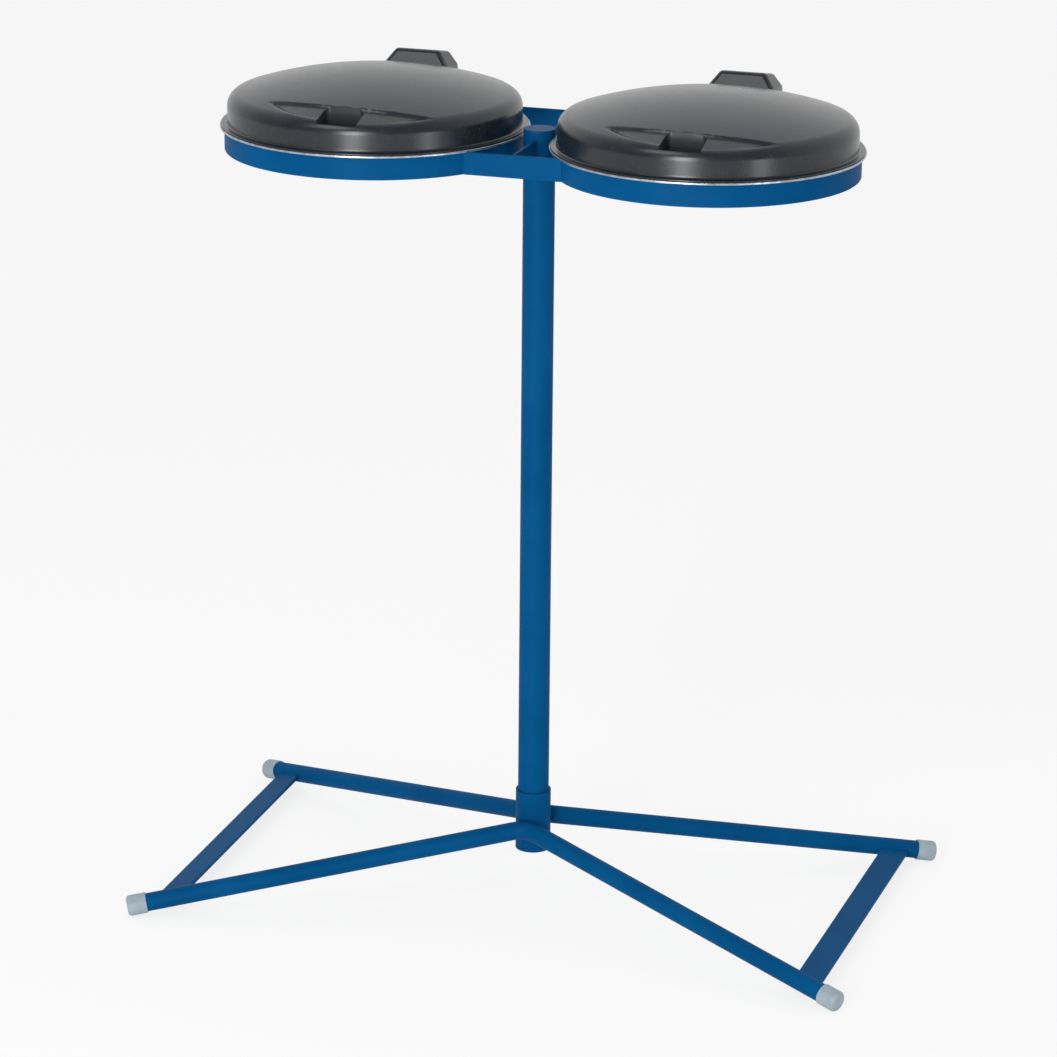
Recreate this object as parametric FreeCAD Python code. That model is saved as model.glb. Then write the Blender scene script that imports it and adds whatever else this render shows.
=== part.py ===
import FreeCAD
import Part
import math
import os

# A double sack holder: a free-standing steel stand that holds two refuse sacks side by side.
# A round post stands in a socket on two bent leg tubes. At its top two flat-bar hoops carry
# the sacks. A loose clamping ring holds each sack on its hoop, and a hinged plastic lid
# closes it. Millimetres. The origin is on the floor, on the post's axis. +Z is up, the
# users stand on the -Y side, and the two hoops lie side by side along X.

V = FreeCAD.Vector
UP = V(0, 0, 1)
ALONG_X = V(1, 0, 0)
ALONG_Y = V(0, 1, 0)

# Post
post_d = 42.4
post_wall = 2.0
post_above_hoops = 9.5
post_cap_head = 3.0
post_cap_stem = 15.0
post_cap_gap = 0.15

# Socket that the post stands in
socket_bottom = 67.0
socket_height = 86.0
socket_wall = 2.6
socket_gap = 0.35
socket_floor_t = 4.0

# Screw that locks the post in the socket
screw_d = 8.0
screw_below_rim = 13.0
screw_head_across = 13.0
screw_head_h = 5.3
screw_free = 4.0
screw_hole_gap = 0.2
nut_across = 13.0
nut_h = 6.5

# Leg tubes: two bent tubes, one in front of the socket and one behind it
leg_d = 25.0
leg_wall = 1.5
leg_level = 105.0
leg_bend_r = 40.0
leg_saddle = 1.0
front_foot_x = 487.0
front_foot_y = 254.0
rear_foot_x = 494.0
rear_foot_y = 286.0

# Plastic caps on the four tube ends
cap_length = 27.0
cap_floor = 4.0
cap_wall = 1.6
cap_gap = 0.1
cap_edge_r = 5.0
cap_seat_gap = 0.3

# Flat braces between the front and the rear leg on each side
brace_w = 35.0
brace_t = 5.0
brace_inset = 42.0

# Hoops
hoop_r = 200.0
hoop_t = 4.0
hoop_h = 30.0
hoop_top = 1067.5
post_side_gap = 7.4

# Bars and ties that join the hoops to the post
bar_t = 5.0
bar_h = 30.0
front_bar_reach = 117.0
rear_bar_seat = 1.0
rear_bar_drop = 5.0
rear_bar_overhang = 50.0
tie_t = 5.0

# Loose clamping rings, an L in section, lying on the hoops
ring_overhang = 6.0
ring_t = 3.0
ring_collar_t = 2.0
ring_collar_h = 10.0
ring_collar_gap = 1.0

# Lids, each one moulding
lid_wall = 3.0
lid_flange_t = 2.5
lid_flange_overhang = 4.5
lid_skirt_setback = 4.0
lid_skirt_h = 24.4
lid_edge_r = 20.0
lid_height = 72.5

# Lens-shaped grip panel sunk into the front of each lid, with a finger pocket in its middle.
# Both lids are the same moulding, whose grip lies a little to the right of the middle.
panel_depth = 3.5
panel_edge_r = 22.0
panel_skirt_step = 0.3
panel_rim = 1.2
panel_back = 44.0
panel_half_w = 118.0
panel_back_bow = 18.0
grip_offset = 14.0
pocket_w = 54.0
pocket_floor = 16.0
pocket_corner_r = 7.0
pocket_front_wall = 5.5

# Hinge housing moulded at the rear of each lid
hump_base_w = 93.0
hump_top_w = 60.0
hump_length = 36.0
hump_front_slope = 10.0
hump_rise = 21.0
hump_fall = 7.0
hump_edge_r = 7.0

# Hinge
hinge_pin_d = 8.0
hinge_run_gap = 0.08
hinge_level = 4.5
hinge_side_gap = 0.5
hinge_front_gap = 1.0
eye_r = 9.0
cheek_t = 6.0
cheek_web_h = 34.0
ear_t = 5.0
ear_inner_w = 38.0
bracket_t = 4.0
bracket_w = 64.0
ear_foot = 6.0
stop_reach = 16.0
stop_gap = 0.3
lid_open_deg = 100.0
pin_head_d = 13.0
pin_head_h = 3.0
pin_tail = 2.0
clip_t = 1.0
clip_d = 14.0
clip_groove = 0.6
clip_slot = 5.0

# Places worked out from the sizes above
post_r = post_d / 2
leg_r = leg_d / 2
socket_bore_r = post_r + socket_gap
socket_r = socket_bore_r + socket_wall
socket_top = socket_bottom + socket_height
post_bottom = socket_bottom + socket_floor_t
post_top = hoop_top + post_above_hoops
cap_r = leg_r + cap_gap + cap_wall
hoop_x = hoop_r + post_r + post_side_gap
hoop_inner_r = hoop_r - hoop_t
hoop_bottom = hoop_top - hoop_h
ring_r = hoop_r + ring_overhang
ring_collar_r = hoop_inner_r - ring_collar_gap
ring_inner_r = ring_collar_r - ring_collar_t
ring_top = hoop_top + ring_t
lid_r = hoop_r - lid_skirt_setback
lid_flange_r = hoop_r + lid_flange_overhang
lid_flange_top = ring_top + lid_flange_t
rear_bar_y = hoop_r - rear_bar_seat
bracket_y = rear_bar_y + bar_t
pin_y = ring_r + hinge_front_gap + eye_r
pin_z = ring_top + hinge_level
hump_rear = pin_y - eye_r - hinge_front_gap
hump_foot = hump_rear - hump_length - hump_front_slope
lid_band_top = ring_top + pocket_floor - lid_wall
ear_outer = ear_inner_w / 2 + ear_t
cheek_inner = ear_outer + hinge_side_gap
cheek_outer = cheek_inner + cheek_t


def vec(point):
    return V(*point)


def cylinder(radius, z0, z1, x=0.0, y=0.0):
    """Upright solid cylinder between two levels."""
    return Part.makeCylinder(radius, z1 - z0, V(x, y, z0), UP)


def box(x0, x1, y0, y1, z0, z1):
    """Box between two corners."""
    return Part.makeBox(x1 - x0, y1 - y0, z1 - z0, V(x0, y0, z0))


def polygon_face(points):
    """Flat face inside a closed run of straight edges."""
    corners = [vec(p) for p in points]
    return Part.Face(Part.makePolygon(corners + corners[:1]))


def plate_yz(points, x0, x1):
    """Plate with a (Y, Z) outline, thick along X."""
    return polygon_face([(x0, y, z) for y, z in points]).extrude(V(x1 - x0, 0, 0))


def hexagon(across, height, origin, direction):
    """Hexagonal prism along a direction."""
    corner_r = across / math.sqrt(3)
    angles = [math.radians(60 * i) for i in range(6)]
    face = polygon_face([(corner_r * math.cos(a), corner_r * math.sin(a), 0) for a in angles])
    prism = face.extrude(V(0, 0, height))
    prism.Placement = FreeCAD.Placement(origin, FreeCAD.Rotation(UP, direction))
    return prism


def one_solid(shape):
    """The single cleaned solid of a finished shape."""
    clean = shape.removeSplitter()
    assert len(clean.Solids) == 1, "a piece came out as %d solids" % len(clean.Solids)
    return clean.Solids[0]


# Legs


def leg_line(rear):
    """Virtual corner of a bent leg tube and its direction towards the right-hand foot.

    The tube is bent round an arc, which leaves its corner on the foot's side, so the corner
    lies nearer to the post than the tube does. Both follow from the tube touching the socket
    and from the cap's rounded edge touching the floor.
    """
    sign = 1 if rear else -1
    foot_x = rear_foot_x if rear else front_foot_x
    foot_y = rear_foot_y if rear else front_foot_y
    tube_y = socket_r + leg_r - leg_saddle
    corner_y = tube_y
    slope = 0.0
    for _ in range(12):
        run_y = foot_y - corner_y
        run = math.hypot(foot_x, run_y)
        cap_z = (cap_r - cap_edge_r) * math.cos(slope) + cap_edge_r
        cap_z += (cap_length / 2 - cap_edge_r) * math.sin(slope)
        drop = leg_level - cap_z
        slope = math.atan(drop / run)
        in_plane = math.hypot(run_y, drop)
        half_turn = math.atan(in_plane / foot_x)
        offset = leg_bend_r * (1 / math.cos(half_turn) - 1)
        corner_y = tube_y - offset * run_y / in_plane
    corner = V(0, sign * corner_y, leg_level)
    direction = V(foot_x, sign * run_y, -drop)
    return corner, direction


def mirrored(direction, side):
    return V(side * direction.x, direction.y, direction.z)


def foot_point(rear, side):
    """Middle of a foot cap, on the leg's axis."""
    corner, direction = leg_line(rear)
    return corner + mirrored(direction, side)


def leg_direction(rear, side):
    direction = mirrored(leg_line(rear)[1], side)
    return direction.normalize()


def tube_end(rear, side):
    """Centre of a leg tube's cut end, just short of the cap's floor."""
    past = cap_length / 2 - cap_floor - cap_seat_gap
    return foot_point(rear, side) + leg_direction(rear, side) * past


def bent_rod(rear, radius):
    """Round rod from foot to foot along a leg tube's bent centre line."""
    corner = leg_line(rear)[0]
    left, right = leg_direction(rear, -1), leg_direction(rear, 1)
    half_turn = math.acos(right.x)
    tangent = leg_bend_r * math.tan(half_turn)
    start, end = corner + left * tangent, corner + right * tangent
    inward = (left + right).normalize()
    middle = corner + inward * (leg_bend_r * (1 / math.cos(half_turn) - 1))
    first, last = tube_end(rear, -1), tube_end(rear, 1)
    path = Part.Wire([
        Part.LineSegment(first, start).toShape(),
        Part.Arc(start, middle, end).toShape(),
        Part.LineSegment(end, last).toShape(),
    ])
    profile = Part.Wire(Part.Circle(first, left, radius).toShape())
    return path.makePipeShell([profile], True, False)


def leg_tube(rear):
    tube = bent_rod(rear, leg_r).cut(bent_rod(rear, leg_r - leg_wall))
    seat = cylinder(socket_r, socket_bottom, socket_top)
    return tube.cut(seat)


def foot_cap(rear, side):
    """Push-on plastic cap with a rounded outer edge."""
    direction = leg_direction(rear, side)
    mouth = foot_point(rear, side) - direction * (cap_length / 2)
    body = Part.makeCylinder(cap_r, cap_length, mouth, direction)
    far_end = mouth + direction * cap_length
    rim = [e for e in body.Edges if is_circle_at(e, far_end)]
    body = body.makeFillet(cap_edge_r, rim)
    bore = Part.makeCylinder(leg_r + cap_gap, cap_length - cap_floor, mouth, direction)
    return body.cut(bore)


def is_circle_at(edge, centre):
    curve = edge.Curve
    return isinstance(curve, Part.Circle) and curve.Center.distanceToPoint(centre) < 1e-3


def brace(side):
    """Flat bar lying in the plane of the two legs and cut to fit between their tubes."""
    ends = []
    for rear in (False, True):
        ends.append(foot_point(rear, side) - leg_direction(rear, side) * brace_inset)
    along = (ends[1] - ends[0]).normalize()
    outward = leg_direction(False, side) + leg_direction(True, side)
    normal = along.cross(outward).normalize()
    across = normal.cross(along).normalize()
    corner = ends[0] - across * (brace_w / 2) - normal * (brace_t / 2)
    corners = [
        corner,
        corner + across * brace_w,
        corner + across * brace_w + normal * brace_t,
        corner + normal * brace_t,
    ]
    bar = Part.Face(Part.makePolygon(corners + corners[:1])).extrude(ends[1] - ends[0])
    for rear in (False, True):
        bar = bar.cut(leg_core(rear, side))
    return largest(bar)


def leg_core(rear, side):
    """Solid rod of a leg tube's outer size along one straight leg."""
    corner = leg_line(rear)[0]
    length = corner.distanceToPoint(foot_point(rear, side))
    return Part.makeCylinder(leg_r, length, corner, leg_direction(rear, side))


def largest(shape):
    return max(shape.Solids, key=lambda solid: solid.Volume)


# Socket and post


def base_socket():
    tube = cylinder(socket_r, post_bottom, socket_top)
    tube = tube.cut(cylinder(socket_bore_r, post_bottom, socket_top))
    screw_hole = screw_rod(screw_d / 2 + screw_hole_gap, 0, socket_r + nut_h)
    return tube.cut(screw_hole)


def socket_floor():
    return cylinder(socket_r, socket_bottom, post_bottom)


def screw_z():
    return socket_top - screw_below_rim


def screw_rod(radius, y0, y1):
    """Round rod on the locking screw's axis, behind the post."""
    return Part.makeCylinder(radius, y1 - y0, V(0, y0, screw_z()), ALONG_Y)


def clamp_nut():
    """Nut welded to the back of the socket, hollowed to sit on it."""
    blank = hexagon(nut_across, nut_h + socket_wall, V(0, socket_r - socket_wall, screw_z()), ALONG_Y)
    blank = blank.cut(cylinder(socket_r, socket_bottom, socket_top))
    return blank.cut(screw_rod(screw_d / 2, 0, socket_r + nut_h))


def clamp_screw():
    """Hexagon screw whose end presses on the post."""
    head_y = socket_r + nut_h + screw_free
    shank = screw_rod(screw_d / 2, post_r, head_y)
    return shank.fuse(hexagon(screw_head_across, screw_head_h, V(0, head_y, screw_z()), ALONG_Y))


def post():
    tube = cylinder(post_r, post_bottom, post_top)
    return tube.cut(cylinder(post_r - post_wall, post_bottom, post_top))


def post_cap():
    """Plastic plug that closes the post's top."""
    head = cylinder(post_r, post_top, post_top + post_cap_head)
    rim = [e for e in head.Edges if is_circle_at(e, V(0, 0, post_top + post_cap_head))]
    head = head.makeFillet(post_cap_head / 3, rim)
    stem_r = post_r - post_wall - post_cap_gap
    return head.fuse(cylinder(stem_r, post_top - post_cap_stem, post_top))


# Top frame


def hoop_core(side):
    """Solid disc of a hoop's outer size, as high as the whole top frame."""
    return cylinder(hoop_r, hoop_bottom - bar_h, hoop_top + bar_h, side * hoop_x)


def hoop(side):
    band = cylinder(hoop_r, hoop_bottom, hoop_top, side * hoop_x)
    return band.cut(cylinder(hoop_inner_r, hoop_bottom, hoop_top, side * hoop_x))


def front_bar():
    """Flat bar that fits between the fronts of the two hoops."""
    y0 = -front_bar_reach
    bar = box(-hoop_x, hoop_x, y0, y0 + bar_t, hoop_top - bar_h, hoop_top)
    for side in (-1, 1):
        bar = bar.cut(hoop_core(side))
    return min(bar.Solids, key=lambda s: abs(s.CenterOfMass.x))


def rear_bar():
    """Long flat bar welded behind both hoops, which carries the hinges."""
    reach = hoop_x + rear_bar_overhang
    top = hoop_top - rear_bar_drop
    bar = box(-reach, reach, rear_bar_y, rear_bar_y + bar_t, top - bar_h, top)
    for side in (-1, 1):
        bar = bar.cut(hoop_core(side))
    return bar


def tie(y0, y1):
    """Flat bar on edge between the post and a bar."""
    bar = box(-tie_t / 2, tie_t / 2, y0, y1, hoop_top - bar_h, hoop_top)
    return bar.cut(cylinder(post_r, hoop_bottom - bar_h, hoop_top + bar_h))


def front_tie():
    return tie(bar_t - front_bar_reach, 0)


def rear_tie():
    return tie(0, rear_bar_y)


def sack_ring(side):
    """Ring with an L section: a flange on the hoop's edge and a collar inside the hoop."""
    section = [
        (ring_inner_r, ring_top),
        (ring_r, ring_top),
        (ring_r, hoop_top),
        (ring_collar_r, hoop_top),
        (ring_collar_r, hoop_top - ring_collar_h),
        (ring_inner_r, hoop_top - ring_collar_h),
    ]
    face = polygon_face([(side * hoop_x + r, 0, z) for r, z in section])
    return face.revolve(V(side * hoop_x, 0, 0), UP, 360)


# Hinge


def hinge_rod(side, radius, x0, x1):
    """Round rod on a lid's hinge axis, with X counted from the middle of the hoop."""
    return Part.makeCylinder(radius, x1 - x0, V(side * hoop_x + x0, pin_y, pin_z), ALONG_X)


def hinge_bracket(side):
    """Steel plate with two ears that hold the pin and stop the open lid."""
    middle = side * hoop_x
    top = hoop_top - rear_bar_drop
    back = bracket_y + bracket_t
    bracket = box(middle - bracket_w / 2, middle + bracket_w / 2, bracket_y, back, top - bar_h, top)
    outline = [
        (back - bracket_t / 2, top - bar_h),
        (back - bracket_t / 2, top),
        (back, pin_z),
        (pin_y, pin_z + stop_height()),
        (pin_y + stop_reach, pin_z + stop_height()),
        (pin_y + stop_reach, pin_z),
        (back + ear_foot, top - bar_h),
    ]
    for x0 in (-ear_outer, ear_inner_w / 2):
        ear = plate_yz(outline, middle + x0, middle + x0 + ear_t)
        bracket = bracket.fuse(ear.fuse(hinge_rod(side, eye_r, x0, x0 + ear_t)))
    return bracket.cut(hinge_rod(side, hinge_pin_d / 2 + hinge_run_gap, -ear_outer, ear_outer))


def stop_height():
    """Height over the pin at which the stop meets the open lid's rear wall."""
    angle = math.radians(lid_open_deg)
    wall = pin_y - hump_rear
    return (wall + stop_reach * math.cos(angle)) / math.sin(angle) - stop_gap


def hinge_pin(side):
    """Headed pin with a groove for its clip."""
    head_x = -(cheek_outer + hinge_side_gap)
    groove_x = cheek_outer + hinge_side_gap
    shank = hinge_rod(side, hinge_pin_d / 2, head_x, groove_x + clip_t + pin_tail)
    head = hinge_rod(side, pin_head_d / 2, head_x - pin_head_h, head_x)
    return shank.fuse(head).cut(clip_blank(side, hinge_pin_d))


def clip_blank(side, outer_d):
    """Flat washer in the pin's groove."""
    x0 = cheek_outer + hinge_side_gap
    outer = hinge_rod(side, outer_d / 2, x0, x0 + clip_t)
    return outer.cut(hinge_rod(side, hinge_pin_d / 2 - clip_groove, x0, x0 + clip_t))


def pin_clip(side):
    """Open retaining clip pushed into the pin's groove from above."""
    x0 = side * hoop_x + cheek_outer + hinge_side_gap
    slot = box(x0, x0 + clip_t, pin_y - clip_slot / 2, pin_y + clip_slot / 2, pin_z, pin_z + clip_d)
    return clip_blank(side, clip_d).cut(slot)


# Lid


def dome_sphere_r():
    """Radius of the dome that runs tangent into the lid's rounded edge."""
    reach = lid_r - lid_edge_r
    rise = lid_height - lid_skirt_h
    return (reach ** 2 + rise ** 2 - lid_edge_r ** 2) / (2 * (rise - lid_edge_r))


def dome_z(radius):
    """Height of the dome's outside at a distance from the lid's middle."""
    sphere_r = dome_sphere_r()
    return ring_top + lid_height - sphere_r + math.sqrt(sphere_r ** 2 - radius ** 2)


def dome(side, radius, edge_r, sink, inset):
    """Solid of revolution under a dome: a straight skirt, a rounded edge and a spherical top.

    The sink lowers the whole top, and the inset moves the surface inwards by a wall.
    """
    sphere_r = dome_sphere_r()
    centre_z = ring_top + lid_height - sink - sphere_r
    reach = radius - edge_r
    edge_z = centre_z + math.sqrt((sphere_r - edge_r) ** 2 - reach ** 2)
    lean = math.atan2(reach, edge_z - centre_z)
    small = edge_r - inset
    big = sphere_r - inset
    bottom = ring_top

    def at(r, z):
        return V(side * hoop_x + r, 0, z)

    def on_arc(r0, z0, size, angle):
        return at(r0 + size * math.sin(angle), z0 + size * math.cos(angle))

    halfway = (lean + math.pi / 2) / 2
    skirt_top = at(radius - inset, edge_z)
    shoulder = on_arc(reach, edge_z, small, lean)
    wire = Part.Wire([
        Part.LineSegment(at(0, bottom), at(radius - inset, bottom)).toShape(),
        Part.LineSegment(at(radius - inset, bottom), skirt_top).toShape(),
        Part.Arc(skirt_top, on_arc(reach, edge_z, small, halfway), shoulder).toShape(),
        Part.Arc(shoulder, on_arc(0, centre_z, big, lean / 2), at(0, centre_z + big)).toShape(),
        Part.LineSegment(at(0, centre_z + big), at(0, bottom)).toShape(),
    ])
    return Part.Face(wire).revolve(V(side * hoop_x, 0, 0), UP, 360)


def panel_front_circle(end_y):
    """Centre Y and radius of the panel's front arc.

    The arc passes through both ends of the panel and keeps the rim's width from the skirt at
    its nearest point, which gives a quadratic for the centre.
    """
    reach = lid_r - panel_rim
    k = reach ** 2 + grip_offset ** 2 - panel_half_w ** 2 - end_y ** 2
    a = reach ** 2 - end_y ** 2
    b = -k * end_y
    c = reach ** 2 * grip_offset ** 2 - k ** 2 / 4
    centre = (-b - math.sqrt(b ** 2 - 4 * a * c)) / (2 * a)
    return centre, math.hypot(panel_half_w, centre - end_y)


def panel_prism(side, grow):
    """Upright lens-shaped column over the grip panel, between two arcs."""
    back_y = -(lid_r - panel_back)
    end_y = back_y + panel_back_bow
    back_r = (panel_half_w ** 2 + panel_back_bow ** 2) / (2 * panel_back_bow)
    front_y, front_r = panel_front_circle(end_y)
    low, high = ring_top + lid_skirt_h / 2, ring_top + 2 * lid_height
    middle = side * hoop_x + grip_offset
    front = cylinder(front_r + grow, low, high, middle, front_y)
    return front.cut(cylinder(back_r - grow, low, high, middle, back_y + back_r))


def hump(side, inset):
    """Hinge housing: a tapered block that stands on the dome and reaches past its rear edge."""
    middle = side * hoop_x
    rear = hump_rear - inset
    top_front = hump_rear - hump_length
    foot = hump_foot + inset
    shoulder = dome_z(top_front)
    front_z = shoulder + hump_rise - inset
    rear_z = front_z - hump_fall
    bottom = lid_flange_top + inset
    side_view = [
        (foot, bottom),
        (rear, bottom),
        (rear, rear_z),
        (top_front + inset, front_z),
        (foot, dome_z(foot) - lid_wall),
    ]
    half_base = hump_base_w / 2 - inset
    half_top = hump_top_w / 2 - inset
    length = plate_yz(side_view, middle - half_base, middle + half_base)
    front_view = [
        (middle - half_base, foot, bottom),
        (middle + half_base, foot, bottom),
        (middle + half_base, foot, shoulder),
        (middle + half_top, foot, front_z),
        (middle - half_top, foot, front_z),
        (middle - half_base, foot, shoulder),
    ]
    block = length.common(polygon_face(front_view).extrude(V(0, rear - foot, 0)))
    upper = [e for e in block.Edges if e.BoundBox.ZMin > (bottom + shoulder) / 2]
    upper = [e for e in upper if e.BoundBox.ZMax > shoulder + lid_wall]
    return block.makeFillet(hump_edge_r - inset / 2, upper)


def lid_form(side, inset):
    """Outer form of a lid, or with an inset of one wall its hollow inside."""
    main = dome(side, lid_r, lid_edge_r, 0, inset)
    sunk = dome(side, lid_r - panel_skirt_step, panel_edge_r, panel_depth, inset)
    prism = panel_prism(side, inset)
    form = main.cut(prism).fuse(sunk.common(prism))
    form = form.cut(finger_pocket(side, inset))
    return form.fuse(hump(side, inset))


def finger_pocket(side, grow):
    """Space of the finger pocket, from the panel's back edge to a wall along the skirt."""
    pocket = pocket_zone(side, grow)
    corners = [e for e in pocket.Edges if e.BoundBox.YLength < pocket_corner_r and e.BoundBox.YMin > -lid_r]
    upright = [e for e in corners if e.BoundBox.ZLength > lid_height]
    pocket = pocket.makeFillet(pocket_corner_r + grow, upright)
    front_r = lid_r - pocket_front_wall + grow
    return pocket.common(cylinder(front_r, ring_top, ring_top + 2 * lid_height, side * hoop_x))


def pocket_zone(side, grow):
    """Box round the finger pocket that runs out past the skirt and the dome."""
    middle = side * hoop_x + grip_offset
    half = pocket_w / 2 + grow
    back = -(lid_r - panel_back) + grow
    low, high = ring_top + pocket_floor - grow, ring_top + 2 * lid_height
    return box(middle - half, middle + half, -2 * lid_r, back, low, high)


def cheek(side, x0):
    """Moulded arm that joins the hinge housing to the pin."""
    root = hump_rear - lid_wall / 2
    top = (root, pin_z + cheek_web_h)
    reach = math.hypot(pin_y - top[0], pin_z - top[1])
    to_pin = math.atan2(pin_z - top[1], pin_y - top[0])
    touch = to_pin + math.asin(eye_r / reach)
    length = math.sqrt(reach ** 2 - eye_r ** 2)
    outline = [
        (root, lid_flange_top),
        top,
        (top[0] + length * math.cos(touch), top[1] + length * math.sin(touch)),
        (pin_y, pin_z),
        (pin_y, lid_flange_top),
    ]
    web = plate_yz(outline, side * hoop_x + x0, side * hoop_x + x0 + cheek_t)
    return web.fuse(hinge_rod(side, eye_r, x0, x0 + cheek_t))


def lid_moulding(side):
    """Whole lid: dome, flange, grip panel with finger pocket, hinge housing and cheeks."""
    flange = cylinder(lid_flange_r, ring_top, lid_flange_top, side * hoop_x)
    shell = lid_form(side, 0).fuse(flange)
    for x0 in (-cheek_outer, cheek_inner):
        shell = shell.fuse(cheek(side, x0))
    shell = shell.cut(lid_form(side, lid_wall))
    return shell.cut(hinge_rod(side, hinge_pin_d / 2 + hinge_run_gap, -cheek_outer, cheek_outer))


def lid_solids(side):
    """The moulding of a lid, parted on plain planes into solids that collision can follow."""
    moulding = lid_moulding(side)
    middle = side * hoop_x
    high = ring_top + 2 * lid_height
    half = hump_base_w / 2
    before = hump_foot - lid_wall
    housing_zone = box(middle - half, middle + half, before, 2 * pin_y, lid_flange_top, high)
    behind = box(middle - half, middle + half, hump_rear, 2 * pin_y, hoop_bottom, lid_flange_top)
    housing_zone = housing_zone.fuse(behind)
    grip_zone = pocket_zone(side, lid_wall)
    band_zone = cylinder(2 * lid_r, hoop_bottom, lid_band_top, middle)
    round_part = moulding.cut(housing_zone)
    return {
        "lid_dome": round_part.cut(band_zone).cut(grip_zone),
        "lid_skirt": round_part.common(band_zone),
        "lid_finger_pocket": moulding.common(grip_zone),
        "lid_hinge_housing": moulding.common(housing_zone),
    }


def pieces():
    """Every piece of the holder under its node name."""
    found = {
        "base_socket": base_socket(),
        "socket_floor": socket_floor(),
        "clamp_nut": clamp_nut(),
        "clamp_screw": clamp_screw(),
        "front_leg_tube": leg_tube(False),
        "rear_leg_tube": leg_tube(True),
        "post": post(),
        "post_cap": post_cap(),
        "front_bar": front_bar(),
        "rear_bar": rear_bar(),
        "front_tie": front_tie(),
        "rear_tie": rear_tie(),
    }
    for name, side in (("left", -1), ("right", 1)):
        found[name + "_brace"] = brace(side)
        found["front_" + name + "_foot_cap"] = foot_cap(False, side)
        found["rear_" + name + "_foot_cap"] = foot_cap(True, side)
        found[name + "_hoop"] = hoop(side)
        found[name + "_sack_ring"] = sack_ring(side)
        found[name + "_hinge_bracket"] = hinge_bracket(side)
        found[name + "_hinge_pin"] = hinge_pin(side)
        found[name + "_pin_clip"] = pin_clip(side)
        for part, shape in lid_solids(side).items():
            found[name + "_" + part] = shape
    return found


os.makedirs("parts", exist_ok=True)
for node, shape in pieces().items():
    one_solid(shape).exportStep("parts/%s.step" % node)
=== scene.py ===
import math

import bmesh
import bpy
from mathutils import Matrix, Vector


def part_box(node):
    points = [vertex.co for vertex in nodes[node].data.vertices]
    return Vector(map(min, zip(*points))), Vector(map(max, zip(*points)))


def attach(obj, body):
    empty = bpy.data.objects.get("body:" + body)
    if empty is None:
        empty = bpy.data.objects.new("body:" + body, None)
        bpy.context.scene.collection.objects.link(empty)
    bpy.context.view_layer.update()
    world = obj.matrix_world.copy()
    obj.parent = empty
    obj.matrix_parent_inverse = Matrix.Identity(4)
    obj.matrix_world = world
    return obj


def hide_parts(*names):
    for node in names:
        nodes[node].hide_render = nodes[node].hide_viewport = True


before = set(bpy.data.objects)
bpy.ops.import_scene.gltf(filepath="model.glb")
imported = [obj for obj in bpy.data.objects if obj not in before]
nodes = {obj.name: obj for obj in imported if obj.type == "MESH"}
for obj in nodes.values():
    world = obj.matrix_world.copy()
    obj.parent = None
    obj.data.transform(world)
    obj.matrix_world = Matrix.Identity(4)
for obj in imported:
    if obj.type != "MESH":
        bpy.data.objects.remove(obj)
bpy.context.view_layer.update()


# The camera stands to the right of the front and above the lids, as the photograph was taken.
# Its place and lens come from the edges of the post, hoops, lids and legs.
camera_place = Vector((1.579, -5.050, 2.215))
camera_target = Vector((-0.0094, -0.0030, 0.5289))
camera_roll = math.radians(0.5)
focal_px = 4108.1
photo_px = 1057
camera = bpy.data.objects.new("camera", bpy.data.cameras.new("camera"))
bpy.context.scene.collection.objects.link(camera)
camera.data.sensor_width = 36
camera.data.lens = 36 * focal_px / photo_px
camera.data.clip_end = 60
aim = (camera_target - camera_place).to_track_quat("-Z", "Y").to_matrix().to_4x4()
camera.matrix_world = Matrix.Translation(camera_place) @ aim @ Matrix.Rotation(camera_roll, 4, "Z")
bpy.context.scene.camera = camera


# Welded steel of the stand: post, socket, leg tubes, hoops, bars and brackets are sprayed with
# one blue powder coat after welding. The coat gives the eye a deep even blue with a soft sheen,
# a fine orange peel about 2 mm across and slow changes of tone over a hand's width.
def linear(code):
    parts = [int(code[i:i + 2], 16) / 255 for i in (0, 2, 4)]
    return tuple(c / 12.92 if c <= 0.04045 else ((c + 0.055) / 1.055) ** 2.4 for c in parts) + (1,)


def new_tree(name):
    material = bpy.data.materials.new(name)
    material.use_nodes = True
    material.node_tree.nodes.clear()
    return material, material.node_tree


def add_node(tree, kind, settings=None, **links):
    node = tree.nodes.new("ShaderNode" + kind)
    for name, value in (settings or {}).items():
        if hasattr(node, name):
            setattr(node, name, value)
        else:
            node.inputs[name].default_value = value
    for name, source in links.items():
        tree.links.new(source, node.inputs[name.replace("_", " ")])
    return node


def marks_of(size_mm):
    """Scale of a pattern whose marks are this many millimetres across."""
    return 1000 / size_mm


powder_coat, tree = new_tree("blue_powder_coat")
place = add_node(tree, "TexCoord").outputs["Object"]
tone = add_node(tree, "TexNoise", {"Scale": marks_of(91), "Detail": 3}, Vector=place)
tints = add_node(tree, "ValToRGB", Fac=tone.outputs["Fac"])
tints.color_ramp.elements[0].position, tints.color_ramp.elements[0].color = 0.35, linear("00497A")
tints.color_ramp.elements[1].position, tints.color_ramp.elements[1].color = 0.65, linear("025083")
gloss = add_node(tree, "MapRange", {"To Min": 0.42, "To Max": 0.52}, Value=tone.outputs["Fac"])
peel = add_node(tree, "TexNoise", {"Scale": marks_of(2.1), "Detail": 2}, Vector=place)
skin = add_node(tree, "Bump", {"Strength": 0.35, "Distance": 0.00005}, Height=peel.outputs["Fac"])
shader = add_node(tree, "BsdfPrincipled", {"IOR": 1.5, "Specular IOR Level": 0.03},
                  Base_Color=tints.outputs["Color"], Roughness=gloss.outputs["Result"],
                  Normal=skin.outputs["Normal"])
add_node(tree, "OutputMaterial", Surface=shader.outputs["BSDF"])


def dress(names, material):
    for name in names:
        nodes[name].data.materials.clear()
        nodes[name].data.materials.append(material)


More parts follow.
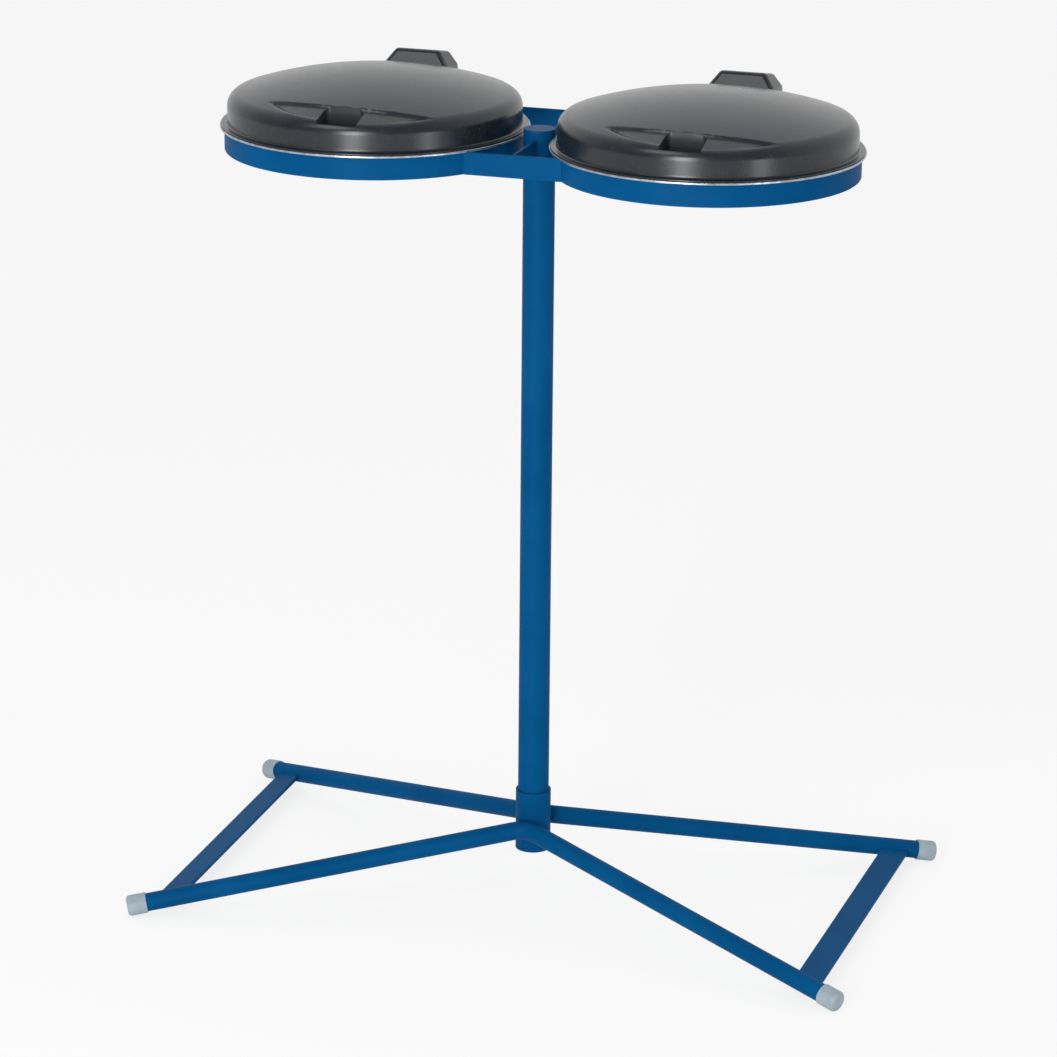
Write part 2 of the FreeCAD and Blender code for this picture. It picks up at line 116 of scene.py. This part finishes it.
dress(["base_socket", "socket_floor", "clamp_nut", "front_leg_tube", "rear_leg_tube", "post"], powder_coat)


# Flat bars of the stand: the bars and ties between hoops and post, the braces between the legs
# and the hinge brackets. Flat bar has slightly rounded edges, which catch a fine line of light,
# so each is a merged copy of its solid with rounded corners.
def soft_edged(node, width):
    """A merged copy of a solid, with its outer edges rounded by this width."""
    mesh = bmesh.new()
    mesh.from_mesh(nodes[node].data)
    bmesh.ops.remove_doubles(mesh, verts=mesh.verts, dist=1e-6)
    bmesh.ops.dissolve_limit(mesh, angle_limit=math.radians(1), verts=mesh.verts, edges=mesh.edges)
    corners = [e for e in mesh.edges
               if e.is_manifold and e.is_convex and e.calc_face_angle() > math.radians(30)]
    bmesh.ops.bevel(mesh, geom=corners, offset=width, segments=2, profile=0.5, affect="EDGES",
                    clamp_overlap=True, material=-1)
    bmesh.ops.recalc_face_normals(mesh, faces=mesh.faces)
    return mesh


def new_piece(name, mesh, material, slot, body, *stands_for):
    """Makes a piece of a mesh, smooth but for its sharp edges, in place of the solids named last."""
    data = bpy.data.meshes.new(name)
    mesh.to_mesh(data)
    mesh.free()
    data.shade_smooth()
    data.set_sharp_from_angle(angle=math.radians(40))
    data.materials.append(material)
    piece = bpy.data.objects.new(name, data)
    bpy.context.scene.collection.objects.link(piece)
    even = piece.modifiers.new("even_flats", "WEIGHTED_NORMAL")
    even.keep_sharp = True
    if stands_for:
        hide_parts(*stands_for)
    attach(piece, body)
    return piece


bar_edge_r = {"front_bar": 0.0009, "rear_bar": 0.0009, "front_tie": 0.0009, "rear_tie": 0.0009,
              "left_brace": 0.0009, "right_brace": 0.0009,
              "left_hinge_bracket": 0.0005, "right_hinge_bracket": 0.0005}
for name, radius in bar_edge_r.items():
    new_piece(name + "_rounded", soft_edged(name, radius), powder_coat, "painted_steel", "stand", name)


# Hoops: flat bar 4 mm by 30 mm, rolled on edge into a ring, with rounded edges. Each is turned
# from its section about the hoop's axis.
def turned(outline, rounding, middle_x):
    """A ring turned from the outline of its section, with the outline's corners rounded."""
    mesh = bmesh.new()
    corners = [mesh.verts.new((middle_x + r, 0, z)) for r, z in outline]
    mesh.faces.new(corners)
    bmesh.ops.bevel(mesh, geom=corners, offset=rounding, segments=3, profile=0.5,
                    affect="VERTICES", material=-1)
    bmesh.ops.delete(mesh, geom=mesh.faces[:], context="FACES_ONLY")
    bmesh.ops.spin(mesh, geom=mesh.verts[:] + mesh.edges[:], cent=(middle_x, 0, 0), axis=(0, 0, 1),
                   angle=2 * math.pi, steps=256, use_merge=True)
    bmesh.ops.remove_doubles(mesh, verts=mesh.verts, dist=1e-6)
    bmesh.ops.recalc_face_normals(mesh, faces=mesh.faces)
    return mesh


hoop_t, hoop_edge_r = 0.004, 0.0011
for side in ("left", "right"):
    low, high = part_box(side + "_hoop")
    middle_x, outer = (low.x + high.x) / 2, (high.y - low.y) / 2
    section = [(outer - hoop_t, low.z), (outer, low.z), (outer, high.z), (outer - hoop_t, high.z)]
    new_piece(side + "_hoop_rolled", turned(section, hoop_edge_r, middle_x), powder_coat,
              "painted_steel", "stand", side + "_hoop")


# Welds of the stand, under the same coat: rippled beads where the bars meet the hoops and the
# ties, where the brackets meet the rear bar, where the legs cross the socket, and across the
# ends of the braces. Each bead is a row of small overlapping drops.
def weld(mesh, points, drop_r):
    """Adds a bead along the points, as a row of drops that overlap by more than half."""
    bead = bmesh.new()
    for start, end in zip(points, points[1:]):
        start, end = Vector(start), Vector(end)
        count = max(1, round((end - start).length / (drop_r * 0.75)))
        for i in range(count + 1):
            at = Matrix.Translation(start.lerp(end, i / count))
            bmesh.ops.create_icosphere(bead, subdivisions=2, radius=drop_r, matrix=at)
    add_mesh(mesh, bead)


def add_mesh(mesh, part):
    """Adds one mesh to another and frees it."""
    data = bpy.data.meshes.new("part")
    part.to_mesh(data)
    part.free()
    mesh.from_mesh(data)
    bpy.data.meshes.remove(data)


def upright_weld(mesh, x, y, low_z, high_z, drop_r):
    """Adds a bead up a bar's edge, stopped a little short of the bar's rounded corners."""
    stop = 0.002
    weld(mesh, [(x, y, low_z + stop), (x, y, high_z - stop)], drop_r)


beads = bmesh.new()
hoop_bead_r, thin_bead_r, socket_bead_r = 0.0019, 0.0018, 0.0024
hoop_low, hoop_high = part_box("right_hoop")
hoop_x, hoop_r = (hoop_low.x + hoop_high.x) / 2, (hoop_high.y - hoop_low.y) / 2
for name, y in (("front_bar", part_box("front_bar")[1].y), ("rear_bar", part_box("rear_bar")[0].y)):
    low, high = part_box(name)
    reach = math.sqrt(hoop_r ** 2 - y ** 2)
    for x in (hoop_x - reach, hoop_x + reach) if name == "rear_bar" else (hoop_x - reach,):
        for way in (-1, 1):
            upright_weld(beads, way * x, y, low.z, high.z, hoop_bead_r)
for name in ("front_tie", "rear_tie"):
    low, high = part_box(name)
    for x in (low.x, high.x):
        for y in (low.y, high.y):
            upright_weld(beads, x, y, low.z, high.z, thin_bead_r)
bar_low, bar_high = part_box("rear_bar")
for side in ("left", "right"):
    low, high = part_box(side + "_hinge_bracket")
    for x in (low.x, high.x):
        upright_weld(beads, x, bar_high.y, bar_low.z, bar_high.z, thin_bead_r)
leg_tube_r, bead_rise, seam_r = 0.0125, 0.0085, 1.04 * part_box("base_socket")[1].x
turns = [math.radians(-28 + 8 * i) for i in range(8)]
for name, way in (("front_leg_tube", -1), ("rear_leg_tube", 1)):
    leg_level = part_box(name)[1].z - leg_tube_r
    for level in (leg_level - bead_rise, leg_level + bead_rise):
        arc = [(seam_r * math.sin(t), way * seam_r * math.cos(t), level) for t in turns]
        weld(beads, arc, socket_bead_r)

# Across each end of a brace: its upper edge slopes, and lies within this much of its top
edge_slope = 0.0035
for side in ("left", "right"):
    corners = [v.co for v in nodes[side + "_brace"].data.vertices]
    for end in ([c for c in corners if c.y < 0], [c for c in corners if c.y > 0]):
        top = max(c.z for c in end)
        rim = sorted((c for c in end if c.z > top - edge_slope), key=lambda c: c.x)
        weld(beads, [rim[0], rim[-1]], thin_bead_r)
new_piece("welds", beads, powder_coat, "painted_steel", "stand")


# Clamp screw, hinge pins and pin clips: small steel parts, plated with zinc. They look bright,
# with the faint streaks a few millimetres long and the slightly uneven gloss that plating leaves.
zinc, tree = new_tree("zinc_plate")
place = add_node(tree, "TexCoord").outputs["Object"]
streaks = add_node(tree, "TexNoise", {"Scale": marks_of(3.8), "Detail": 4, "Distortion": 0.6}, Vector=place)
tints = add_node(tree, "ValToRGB", Fac=streaks.outputs["Fac"])
tints.color_ramp.elements[0].position, tints.color_ramp.elements[0].color = 0.3, linear("A9ABA8")
tints.color_ramp.elements[1].position, tints.color_ramp.elements[1].color = 0.7, linear("C6C8C9")
gloss = add_node(tree, "MapRange", {"To Min": 0.25, "To Max": 0.42}, Value=streaks.outputs["Fac"])
shader = add_node(tree, "BsdfPrincipled", {"Metallic": 1.0}, Base_Color=tints.outputs["Color"],
                  Roughness=gloss.outputs["Result"])
add_node(tree, "OutputMaterial", Surface=shader.outputs["BSDF"])
dress(["clamp_screw"] + [s + n for s in ("left", "right") for n in ("_hinge_pin", "_pin_clip")], zinc)


# Clamping rings: an L section of galvanised steel that lies loose on each hoop and holds the
# sack. Its rolled edge shows as a thin bright line. The zinc shows flakes about 8 mm across,
# each a little lighter or darker and glossier or duller than the next.
galvanised, tree = new_tree("galvanised_steel")
place = add_node(tree, "TexCoord").outputs["Object"]
flakes = add_node(tree, "TexVoronoi", {"Scale": marks_of(8), "Randomness": 1.0}, Vector=place)
shade_of_flake = add_node(tree, "SeparateColor", Color=flakes.outputs["Color"])
tints = add_node(tree, "ValToRGB", Fac=shade_of_flake.outputs["Red"])
tints.color_ramp.elements[0].position, tints.color_ramp.elements[0].color = 0.0, linear("98A1A9")
tints.color_ramp.elements[1].position, tints.color_ramp.elements[1].color = 1.0, linear("B9C2CA")
gloss = add_node(tree, "MapRange", {"To Min": 0.24, "To Max": 0.4}, Value=shade_of_flake.outputs["Green"])
shader = add_node(tree, "BsdfPrincipled", {"Metallic": 1.0}, Base_Color=tints.outputs["Color"],
                  Roughness=gloss.outputs["Result"])
add_node(tree, "OutputMaterial", Surface=shader.outputs["BSDF"])
collar_t, rim_t, collar_play, rim_edge_r = 0.002, 0.003, 0.003, 0.0008
for side in ("left", "right"):
    low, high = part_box(side + "_sack_ring")
    middle_x, outer = (low.x + high.x) / 2, (high.y - low.y) / 2
    inner = hoop_r - hoop_t - collar_play
    section = [(inner, high.z), (outer, high.z), (outer, high.z - rim_t),
               (inner + collar_t, high.z - rim_t), (inner + collar_t, low.z), (inner, low.z)]
    new_piece(side + "_sack_ring_rolled", turned(section, rim_edge_r, middle_x), galvanised,
              "galvanised_steel", "stand", side + "_sack_ring")


# Foot caps: soft grey polyethylene pushed over the tube ends. Matt, a little uneven, with a
# fine moulded grain, and a darker grey towards the floor.
cap_plastic, tree = new_tree("grey_polyethylene")
place = add_node(tree, "TexCoord").outputs["Object"]
cloud = add_node(tree, "TexNoise", {"Scale": marks_of(16.7), "Detail": 4}, Vector=place)
tints = add_node(tree, "ValToRGB", Fac=cloud.outputs["Fac"])
tints.color_ramp.elements[0].position, tints.color_ramp.elements[0].color = 0.3, linear("909FA8")
tints.color_ramp.elements[1].position, tints.color_ramp.elements[1].color = 0.7, linear("A0AFB8")
height = add_node(tree, "SeparateXYZ", Vector=place)
# The grey turns darker within 8 mm of the floor, up to half way to the darker tint
near_floor = add_node(tree, "MapRange", {"From Max": 0.008, "To Min": 0.5, "To Max": 0.0},
                      Value=height.outputs["Z"])
darker_low = add_node(tree, "Mix", {"data_type": "RGBA"})
tree.links.new(near_floor.outputs["Result"], darker_low.inputs["Factor"])
tree.links.new(tints.outputs["Color"], darker_low.inputs["A"])
darker_low.inputs["B"].default_value = linear("6E777C")
grain = add_node(tree, "TexNoise", {"Scale": marks_of(0.7), "Detail": 2}, Vector=place)
skin = add_node(tree, "Bump", {"Strength": 0.3, "Distance": 0.00005}, Height=grain.outputs["Fac"])
shader = add_node(tree, "BsdfPrincipled", {"IOR": 1.5, "Roughness": 0.52},
                  Base_Color=darker_low.outputs["Result"], Normal=skin.outputs["Normal"])
add_node(tree, "OutputMaterial", Surface=shader.outputs["BSDF"])
moulded_edge_r = 0.0006
for corner in ("front_left", "front_right", "rear_left", "rear_right"):
    cap = corner + "_foot_cap"
    new_piece(cap + "_moulded", soft_edged(cap, moulded_edge_r), cap_plastic, "grey_plastic",
              "stand", cap)


# Post cap: a plug of dark blue polyethylene, pressed into the top of the post. It is moulded,
# with a fine grain, and looks a little duller and darker than the paint.
plug_plastic, tree = new_tree("blue_polyethylene")
place = add_node(tree, "TexCoord").outputs["Object"]
cloud = add_node(tree, "TexNoise", {"Scale": marks_of(11), "Detail": 3}, Vector=place)
tints = add_node(tree, "ValToRGB", Fac=cloud.outputs["Fac"])
tints.color_ramp.elements[0].position, tints.color_ramp.elements[0].color = 0.3, linear("064577")
tints.color_ramp.elements[1].position, tints.color_ramp.elements[1].color = 0.7, linear("094D80")
grain = add_node(tree, "TexNoise", {"Scale": marks_of(0.6), "Detail": 2}, Vector=place)
skin = add_node(tree, "Bump", {"Strength": 0.25, "Distance": 0.00005}, Height=grain.outputs["Fac"])
shader = add_node(tree, "BsdfPrincipled", {"IOR": 1.5, "Roughness": 0.5, "Specular IOR Level": 0.15},
                  Base_Color=tints.outputs["Color"], Normal=skin.outputs["Normal"])
add_node(tree, "OutputMaterial", Surface=shader.outputs["BSDF"])
dress(["post_cap"], plug_plastic)


# Lids: each is moulded in one piece from glossy black ABS, 3 mm thick, and hinged at the back.
# The gloss mirrors the white room at a low angle, so the dome looks mid grey and the skirt nearly
# black. Slow waves of 60 mm come from shrinkage, the haze from handling, and the pocket is matt.
lid_plastic, tree = new_tree("black_abs")
place = add_node(tree, "TexCoord").outputs["Object"]
waves = add_node(tree, "TexNoise", {"Scale": marks_of(62.5), "Detail": 1}, Vector=place)
haze = add_node(tree, "TexNoise", {"Scale": marks_of(14.3), "Detail": 6, "Roughness": 0.7}, Vector=place)
grain = add_node(tree, "TexNoise", {"Scale": marks_of(1.1), "Detail": 2}, Vector=place)
tints = add_node(tree, "ValToRGB", Fac=haze.outputs["Fac"])
tints.color_ramp.elements[0].position, tints.color_ramp.elements[0].color = 0.3, linear("181B21")
tints.color_ramp.elements[1].position, tints.color_ramp.elements[1].color = 0.75, linear("22272E")
gloss = add_node(tree, "MapRange", {"To Min": 0.2, "To Max": 0.32}, Value=haze.outputs["Fac"])
swell = add_node(tree, "Bump", {"Strength": 0.25, "Distance": 0.0012}, Height=waves.outputs["Fac"])
skin = add_node(tree, "Bump", {"Strength": 0.12, "Distance": 0.00004}, Height=grain.outputs["Fac"],
                Normal=swell.outputs["Normal"])
pocket = add_node(tree, "Attribute", {"attribute_name": "pocket"})
matt = add_node(tree, "MapRange", {"To Max": 0.4}, Value=pocket.outputs["Fac"])
rough = add_node(tree, "Math", {"operation": "ADD"})
tree.links.new(gloss.outputs["Result"], rough.inputs[0])
tree.links.new(matt.outputs["Result"], rough.inputs[1])
shader = add_node(tree, "BsdfPrincipled", {"IOR": 1.54, "Specular IOR Level": 0.4},
                  Base_Color=tints.outputs["Color"], Roughness=rough.outputs["Value"],
                  Normal=skin.outputs["Normal"])
add_node(tree, "OutputMaterial", Surface=shader.outputs["BSDF"])

# Shape of the lid, in millimetres over the clamping ring's top and round the hoop's middle. The
# dome is part of a sphere with a rolled edge. The grip panel is a copy of it, sunk a little,
# between an arc behind and an arc in front that meet at the panel's two ends.
mm = 0.001
ring_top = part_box("left_sack_ring")[1].z
lid_r, lid_edge_r, lid_skirt_h, lid_height, lid_wall = 196.0, 20.0, 24.4, 72.5, 3.0
flange_r, flange_t, flange_root_r = 204.5, 2.5, 2.0
panel_edge_r, panel_step, panel_depth = 22.0, 0.3, 3.5
panel_half_w, panel_back, panel_bow, panel_rim = 118.0, 152.0, 18.0, 1.2
grip_x, pocket_half_w, pocket_floor, pocket_corner, pocket_front = 14.0, 27.0, 16.0, 7.0, 192.0
housing_half_w, housing_front, housing_floor = 45.0, 161.5, 4.5
pocket_columns_r, housing_columns_r = 172.0, 186.0
sphere_rise = lid_height - lid_skirt_h
sphere_r = (lid_r - lid_edge_r) ** 2 + sphere_rise ** 2 - lid_edge_r ** 2
sphere_r /= 2 * (sphere_rise - lid_edge_r)
panel_end = panel_bow - panel_back
back_r = (panel_half_w ** 2 + panel_bow ** 2) / (2 * panel_bow)

# Middle of the front arc: on the panel's own middle line, where the arc passes through the
# panel's ends and comes within panel_rim of the skirt
reach = lid_r - panel_rim
k = reach ** 2 + grip_x ** 2 - panel_half_w ** 2 - panel_end ** 2
a, b, c = reach ** 2 - panel_end ** 2, -k * panel_end, reach ** 2 * grip_x ** 2 - k ** 2 / 4
front_y = (-b - math.sqrt(b ** 2 - 4 * a * c)) / (2 * a)
front_r = math.hypot(panel_half_w, front_y - panel_end)


def ease(low, high, value):
    """Goes softly from 0 at the low value to 1 at the high one."""
    t = min(max((value - low) / (high - low), 0.0), 1.0)
    return t * t * (3 - 2 * t)


def dome_form(radius, edge_r, sink):
    """Where a dome's sphere and the round of its edge lie."""
    centre = lid_height - sink - sphere_r
    reach = radius - edge_r
    edge_z = centre + math.sqrt((sphere_r - edge_r) ** 2 - reach ** 2)
    return centre, reach, edge_z, edge_r, math.atan2(reach, edge_z - centre)


main_form = dome_form(lid_r, lid_edge_r, 0)
sunk_form = dome_form(lid_r - panel_step, panel_edge_r, panel_depth)


def profile_point(form, inset, share):
    """Radius and height on a dome: share 0 to 1 over the sphere, 1 to 2 round the edge."""
    centre, reach, edge_z, edge_r, lean = form
    if share <= 1:
        angle = lean * share
        return (sphere_r - inset) * math.sin(angle), centre + (sphere_r - inset) * math.cos(angle)
    angle = lean + (math.pi / 2 - lean) * (share - 1)
    return reach + (edge_r - inset) * math.sin(angle), edge_z + (edge_r - inset) * math.cos(angle)


def lid_sheet(inset):
    """The outer or inner face of the lid's wall, turned as a sheet and then moved into shape."""
    form_lean = main_form[4]
    steep = (sphere_r - inset) * math.sin(form_lean)
    # Radii of the rows of points, closest together from the panel's back edge to the housing
    last_even = 165.5
    rings = [0, 14, 30, 48, 66, 84, 100, 113, 123, 131, 138, 143, 146.5]
    rings += [148 + i for i in range(10)] + [159.5, housing_front, 163.5, last_even]
    rings += [last_even + (steep - last_even) * i / 9 for i in range(1, 9)]
    shares = [math.asin(r / (sphere_r - inset)) / form_lean for r in rings]
    shares += [1 + i / 22 for i in range(23)]
    section = [profile_point(main_form, inset, s) for s in shares]
    skirt_r = lid_r - inset
    if inset:
        low_part = [(skirt_r, z) for z in (20.0, 15.0, 10.0, housing_floor, 2.0, 0.0)]
    else:
        root, lip = flange_t + flange_root_r, 1.0
        low_part = [(skirt_r, z) for z in (20.0, 15.0, 10.0, 7.0)]
        turn = [math.radians(30 * i) for i in range(4)]
        low_part += [(skirt_r + flange_root_r * (1 - math.cos(t)), root - flange_root_r * math.sin(t))
                     for t in turn]
        turn = [math.radians(45 * i) for i in range(5)]
        low_part += [(flange_r - lip + lip * math.sin(t), flange_t / 2 + (flange_t / 2) * math.cos(t))
                     for t in turn]
        low_part += [(lid_r - lid_wall, 0.0)]
    section += low_part
    mesh = bmesh.new()
    ring_of = mesh.verts.layers.int.new("ring")
    pocket_of = mesh.verts.layers.float.new("pocket")
    start = math.radians(-50)
    line = [mesh.verts.new((r * math.sin(start), -r * math.cos(start), z)) for r, z in section]
    for first, second in zip(line, line[1:]):
        mesh.edges.new((first, second))
    for i, vert in enumerate(line):
        vert[ring_of] = i
    edge_line = mesh.verts[:] + mesh.edges[:]
    # Fine steps at the panel, finest at the pocket, and fine again at the hinge housing
    for sweep, steps in ((42, 42), (26, 74), (32, 40), (95, 45), (70, 70), (95, 45)):
        made = bmesh.ops.spin(mesh, geom=edge_line, cent=(0, 0, 0), axis=(0, 0, 1),
                              angle=math.radians(sweep), steps=steps)
        edge_line = made["geom_last"]
    for vert in mesh.verts:
        index = vert[ring_of]
        *vert.co, vert[pocket_of] = shape_point(vert.co, index, len(shares), shares, inset)
    bmesh.ops.remove_doubles(mesh, verts=mesh.verts, dist=1e-4)
    inside = [f for f in mesh.faces if in_housing(f.calc_center_median())]
    bmesh.ops.delete(mesh, geom=inside, context="FACES")
    return mesh


def in_housing(at):
    """Whether a place lies where the hinge housing opens into the lid."""
    return abs(at.x) < housing_half_w and at.y > housing_front and housing_floor < at.z


def shape_point(at, index, top_count, shares, inset):
    """Place of a point of the turned sheet in the finished lid, and 1 where it lies in the pocket."""
    r, z = math.hypot(at.x, at.y), at.z
    if r < 1e-6:
        return 0.0, 0.0, z, 0.0
    x, y = at.x, at.y

    # Columns of points run straight back from the pocket and the housing, and rows straight
    # across them, so that their edges follow the mesh
    angle = math.atan2(x, -y) if y < 0 else math.atan2(x, y)
    if y < 0:
        aside = abs(angle - math.radians(5))
        front = ease(110, 140, r) * (1 - ease(math.radians(16), math.radians(30), aside))
        if front > 0:
            x += front * (pocket_columns_r * math.sin(angle) - x)
            y = -math.sqrt(r * r - x * x)
            y += front * ease(136, 147, r) * (1 - ease(157, 172, r)) * (-r - y)
    else:
        rear = ease(120, 145, r) * (1 - ease(math.radians(20), math.radians(32), abs(angle)))
        if rear > 0:
            x += rear * (housing_columns_r * math.sin(angle) - x)
            y = math.sqrt(r * r - x * x)
            y += rear * ease(150, 159, r) * (1 - ease(166, 178, r)) * (r - y)
    if index >= top_count:
        return x, y, z, 0.0
    if shares[index] < 1:
        r = sunk_r = math.hypot(x, y)
        z = main_form[0] + math.sqrt((sphere_r - inset) ** 2 - r * r)
        sunk_z = sunk_form[0] + math.sqrt((sphere_r - inset) ** 2 - r * r)
    else:
        sunk_r, sunk_z = profile_point(sunk_form, inset, shares[index])
    if y >= 0:
        return x, y, z, 0.0

    # The panel sinks within its two arcs, steeply at the back and softly in front
    from_back = math.hypot(x - grip_x, y + panel_back - back_r) - back_r + inset
    from_front = front_r + inset - math.hypot(x - grip_x, y - front_y)
    sunk = ease(-0.8, 1.4, from_back) * ease(0, 11, from_front)
    factor = 1 + sunk * (sunk_r / r - 1)
    z += sunk * (sunk_z - z)

    # The pocket drops to its floor within a rectangle with round corners at the back
    across, along = abs(x - grip_x) - pocket_half_w + pocket_corner, y + panel_back + pocket_corner
    outside = math.hypot(max(across, 0), max(along, 0)) + min(max(across, along), 0) - pocket_corner
    within = min(-outside, pocket_front - r) + inset
    z += ease(0, 3.2, within) * (pocket_floor - inset - z)
    return x * factor, y * factor, z, ease(-0.3, 0.5, within)


moulding, inner = lid_sheet(0.0), lid_sheet(lid_wall)
bmesh.ops.reverse_faces(inner, faces=inner.faces)
add_mesh(moulding, inner)
bmesh.ops.remove_doubles(moulding, verts=moulding.verts, dist=1e-3)
bmesh.ops.scale(moulding, vec=(mm, mm, mm), verts=moulding.verts)
housing_seam = 0.1602
for side, middle_x in (("left", -hoop_x), ("right", hoop_x)):
    lid = moulding.copy()
    bmesh.ops.translate(lid, vec=(middle_x, 0, ring_top), verts=lid.verts)
    parts = [side + "_lid_" + part for part in ("dome", "skirt", "finger_pocket")]
    new_piece(side + "_lid_moulding", lid, lid_plastic, "black_plastic", side + "_lid", *parts)
    housing = soft_edged(side + "_lid_hinge_housing", moulded_edge_r)
    bmesh.ops.bisect_plane(housing, geom=housing.verts[:] + housing.edges[:] + housing.faces[:],
                           plane_co=(middle_x, housing_seam, ring_top), plane_no=(0, 1, 0),
                           clear_inner=True)
    new_piece(side + "_hinge_housing_moulded", housing, lid_plastic, "black_plastic",
              side + "_lid", side + "_lid_hinge_housing")


# Floor and light: a plain white floor in a room that is white behind the stand and dim in
# front of it, with three soft lamps. The tall front lamp and the small one on the right make
# the two lights on each lid's skirt, and the high one on the left fills the shade.
floor_reach = 20.0
stage_mesh = bmesh.new()
bmesh.ops.create_grid(stage_mesh, x_segments=1, y_segments=1, size=floor_reach)
floor_data = bpy.data.meshes.new("floor")
stage_mesh.to_mesh(floor_data)
stage_mesh.free()
floor = bpy.data.objects.new("floor", floor_data)
bpy.context.scene.collection.objects.link(floor)
pale, tree = new_tree("pale_floor")
paper = add_node(tree, "BsdfPrincipled", {"Base Color": linear("F4F4F4"), "Roughness": 0.9})
glow = add_node(tree, "Emission", {"Color": linear("FFFFFF"), "Strength": 1.0})


def any_ray(tree, *sources):
    """The largest of the values, such as 1 where a ray is of any of the kinds given."""
    largest = sources[0]
    for source in sources[1:]:
        node = add_node(tree, "Math", {"operation": "MAXIMUM"})
        tree.links.new(largest, node.inputs[0])
        tree.links.new(source, node.inputs[1])
        largest = node.outputs["Value"]
    return largest


# Seen directly or in a gloss, the floor is mostly plain white, with the object's shadow on it
path = add_node(tree, "LightPath")
seen = any_ray(tree, path.outputs["Is Camera Ray"], path.outputs["Is Glossy Ray"],
               path.outputs["Is Transmission Ray"])
share = add_node(tree, "MapRange", {"To Max": 0.8}, Value=seen)
mixed = add_node(tree, "MixShader", Fac=share.outputs["Result"])
tree.links.new(paper.outputs["BSDF"], mixed.inputs[1])
tree.links.new(glow.outputs["Emission"], mixed.inputs[2])
add_node(tree, "OutputMaterial", Surface=mixed.outputs["Shader"])
floor_data.materials.append(pale)

world = bpy.data.worlds.new("studio")
bpy.context.scene.world = world
world.use_nodes = True
tree = world.node_tree
tree.nodes.clear()
towards = add_node(tree, "SeparateXYZ", Vector=add_node(tree, "TexCoord").outputs["Generated"])
room = add_node(tree, "MapRange", {"From Min": -0.5, "From Max": 0.3, "To Min": 0.27, "To Max": 0.9},
                Value=towards.outputs["Y"])
behind = add_node(tree, "MapRange", {"From Max": 0.4}, Value=towards.outputs["Y"])
path = add_node(tree, "LightPath")
mirrored = add_node(tree, "Math", {"operation": "MULTIPLY"})
tree.links.new(path.outputs["Is Glossy Ray"], mirrored.inputs[0])
tree.links.new(behind.outputs["Result"], mirrored.inputs[1])
level = any_ray(tree, room.outputs["Result"], path.outputs["Is Camera Ray"],
                path.outputs["Is Transmission Ray"], mirrored.outputs["Value"])
white = add_node(tree, "Background", {"Color": linear("FFFFFF")}, Strength=level)
add_node(tree, "OutputWorld", Surface=white.outputs["Background"])


def soft_lamp(name, place, target, size, watts):
    data = bpy.data.lights.new(name, "AREA")
    data.shape = "RECTANGLE"
    data.size, data.size_y = size
    data.energy = watts
    lamp = bpy.data.objects.new(name, data)
    bpy.context.scene.collection.objects.link(lamp)
    lamp.location = place
    lamp.rotation_euler = (Vector(target) - Vector(place)).to_track_quat("-Z", "Y").to_euler()


soft_lamp("front_lamp", (0.0, -4.5, 1.25), (0, 0, 1.0), (1.05, 2.1), 112)
soft_lamp("right_lamp", (2.8, -1.8, 0.6), (0, 0, 0.9), (0.6, 1.0), 9)
soft_lamp("key_lamp", (-1.5, -4.0, 4.6), (0, 0, 1.1), (2.6, 2.0), 58)

bpy.context.scene.view_settings.view_transform = "Standard"
